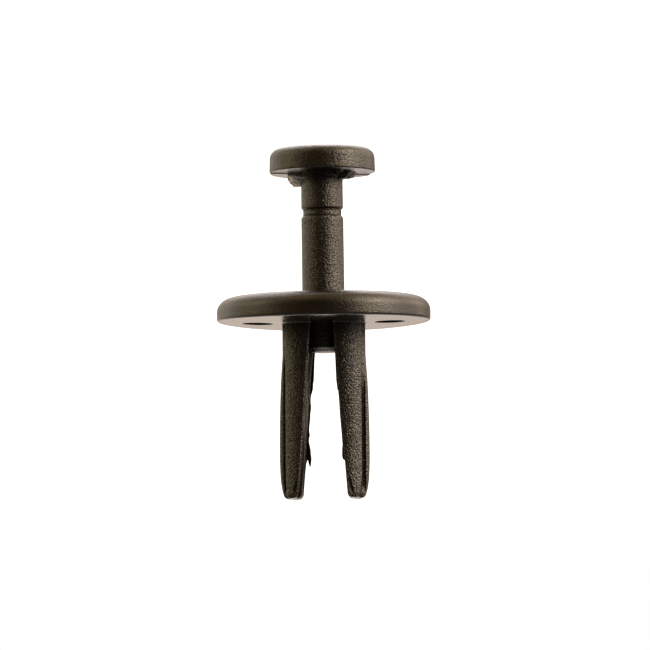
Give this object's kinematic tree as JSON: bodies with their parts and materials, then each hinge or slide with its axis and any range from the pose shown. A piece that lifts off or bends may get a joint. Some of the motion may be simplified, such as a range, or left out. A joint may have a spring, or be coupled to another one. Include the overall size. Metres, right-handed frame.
{
  "type": "plastic push rivet",
  "caption": "Moulded push rivet: a round flange with split, ribbed legs for a panel hole, and a headed drive pin that slides down between the legs to spread them.",
  "frame": {"origin": "middle of the flat outer face of the drive pin's head, which the rivet stands on", "axes": "+Z along the axis, from the pin's head through the flange to the tips of the legs; the legs lie along +X and -X"},
  "size_m": [0.02, 0.02, 0.0328],
  "materials": {
    "pin_plastic": "moulded nylon, very dark brown, satin, with a fine spark-eroded grain",
    "sleeve_plastic": "moulded nylon, very dark brown, satin, with a fine spark-eroded grain, stronger on the legs"
  },
  "bodies": {
    "pin": {"drive_pin": "pin_plastic"},
    "sleeve": {"split_sleeve": "sleeve_plastic"}
  },
  "joints": [
    {"name": "push_home", "type": "slide", "parent": "pin", "child": "sleeve", "axis": [0, 0, -1], "range_m": [0, 0.01035]}
  ]
}
